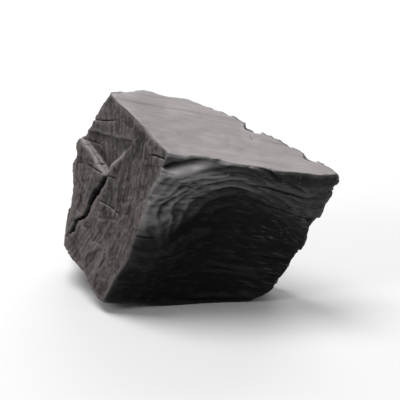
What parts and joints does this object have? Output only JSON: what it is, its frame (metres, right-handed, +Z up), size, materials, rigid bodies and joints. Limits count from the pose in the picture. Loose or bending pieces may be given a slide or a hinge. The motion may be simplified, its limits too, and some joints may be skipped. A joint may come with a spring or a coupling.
{
  "type": "charcoal lump",
  "caption": "Angular lump of hardwood charcoal with a pale split top, a ringed end and a hollowed dark front; it lies on a small flat spot.",
  "frame": {"origin": "middle of the lump's footprint, on the surface that it lies on", "axes": "+X along the wood fibres to the tapered end, -Y towards the hollowed front, +Z up"},
  "size_m": [0.1198, 0.0818, 0.0873],
  "materials": {
    "charcoal": "matt with a faint silky sheen along the fibres"
  },
  "bodies": {
    "root": {"charcoal_lump": "charcoal"}
  },
  "joints": []
}
